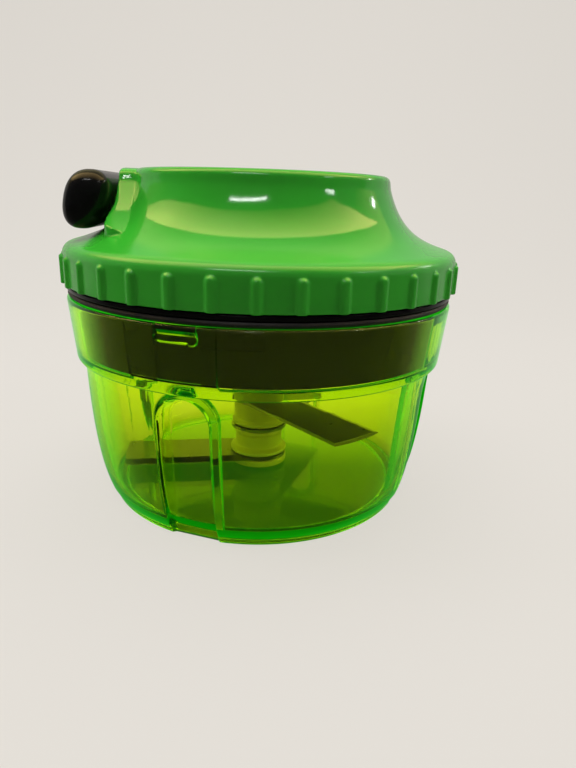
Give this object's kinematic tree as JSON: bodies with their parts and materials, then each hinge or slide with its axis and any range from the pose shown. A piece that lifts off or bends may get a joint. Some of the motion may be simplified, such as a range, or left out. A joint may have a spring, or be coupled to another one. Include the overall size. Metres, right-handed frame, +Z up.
{
  "type": "pull-cord food chopper",
  "caption": "Hand-powered food chopper: clear bowl with stacked blades, twist-lock lid with a cord reel and a docked pull handle that spins the blades.",
  "frame": {"origin": "centre of the bowl's foot ring, on the surface that the chopper stands on", "axes": "+Z up along the blade shaft; the pull handle is on the -X side and is pulled towards -X; -Y is the front"},
  "size_m": [0.1218, 0.1218, 0.1002],
  "materials": {
    "clear_green": "clear tinted, polished",
    "green": "opaque, glossy",
    "black": "opaque, glossy",
    "seal": "matte",
    "cream": "satin",
    "grey": "satin",
    "white": "satin",
    "cord": "braided",
    "blade_steel": "stamped and ground",
    "screw_steel": "zinc plated",
    "spring_steel": "blued",
    "brass": "satin"
  },
  "bodies": {
    "bowl": {"bowl": "clear_green", "centre_pin": "blade_steel"},
    "blades": {"hub_core": "cream", "blade_low": "blade_steel", "spacer_low": "cream", "blade_middle": "blade_steel", "spacer_high": "cream", "blade_top": "blade_steel", "hub_head": "cream"},
    "seal": {"seal_ring": "seal"},
    "lid": {"lid_base": "black", "lid_cover": "green", "cord_eyelet": "brass", "base_screw_1": "screw_steel", "base_screw_2": "screw_steel", "base_screw_3": "screw_steel", "base_screw_4": "screw_steel", "axle": "blade_steel", "mainspring": "spring_steel", "cord_lead": "cord"},
    "reel": {"cord_reel": "white", "cord_coil": "cord", "ratchet_ring": "grey"},
    "drive": {"drive_coupler": "grey"},
    "pawl_one": {"pawl_1": "screw_steel"},
    "pawl_two": {"pawl_2": "screw_steel"},
    "handle": {"pull_handle": "black", "handle_plug": "black", "cord_run": "cord"}
  },
  "joints": [
    {"name": "lid_lift", "type": "slide", "parent": "bowl", "child": "seal", "axis": [0, 0, 1], "range_m": [0, 0.06]},
    {"name": "lid_turn", "type": "hinge", "parent": "seal", "child": "lid", "pos_m": [0, 0, 0.066], "axis": [0, 0, -1], "range_deg": [0, 16]},
    {"name": "handle_pull", "type": "slide", "parent": "lid", "child": "handle", "axis": [-1, 0, 0], "range_m": [0, 0.32], "stiffness_N_per_m": 14, "springref_m": -0.4, "deforming": ["cord_run"]},
    {"name": "reel_spin", "type": "hinge", "parent": "lid", "child": "reel", "pos_m": [0, 0, 0.085], "axis": [0, 0, 1], "range_deg": [0, 961]},
    {"name": "drive_spin", "type": "hinge", "parent": "lid", "child": "drive", "pos_m": [0, 0, 0.066], "axis": [0, 0, 1], "range_deg": [0, 961]},
    {"name": "blade_spin", "type": "hinge", "parent": "bowl", "child": "blades", "pos_m": [0, 0, 0.01], "axis": [0, 0, 1], "range_deg": [0, 961]},
    {"name": "pawl_one_swing", "type": "hinge", "parent": "drive", "child": "pawl_one", "pos_m": [0.00937, 0.0104, 0.072], "axis": [0, 0, -1], "range_deg": [0, 15]},
    {"name": "pawl_two_swing", "type": "hinge", "parent": "drive", "child": "pawl_two", "pos_m": [-0.00937, -0.0104, 0.072], "axis": [0, 0, -1], "range_deg": [0, 15]}
  ],
  "couplings": [
    {"joint": "reel_spin", "follows": "handle_pull", "rad_per_m": 52.356},
    {"joint": "drive_spin", "follows": "handle_pull", "rad_per_m": 52.356},
    {"joint": "blade_spin", "follows": "handle_pull", "rad_per_m": 52.356}
  ]
}
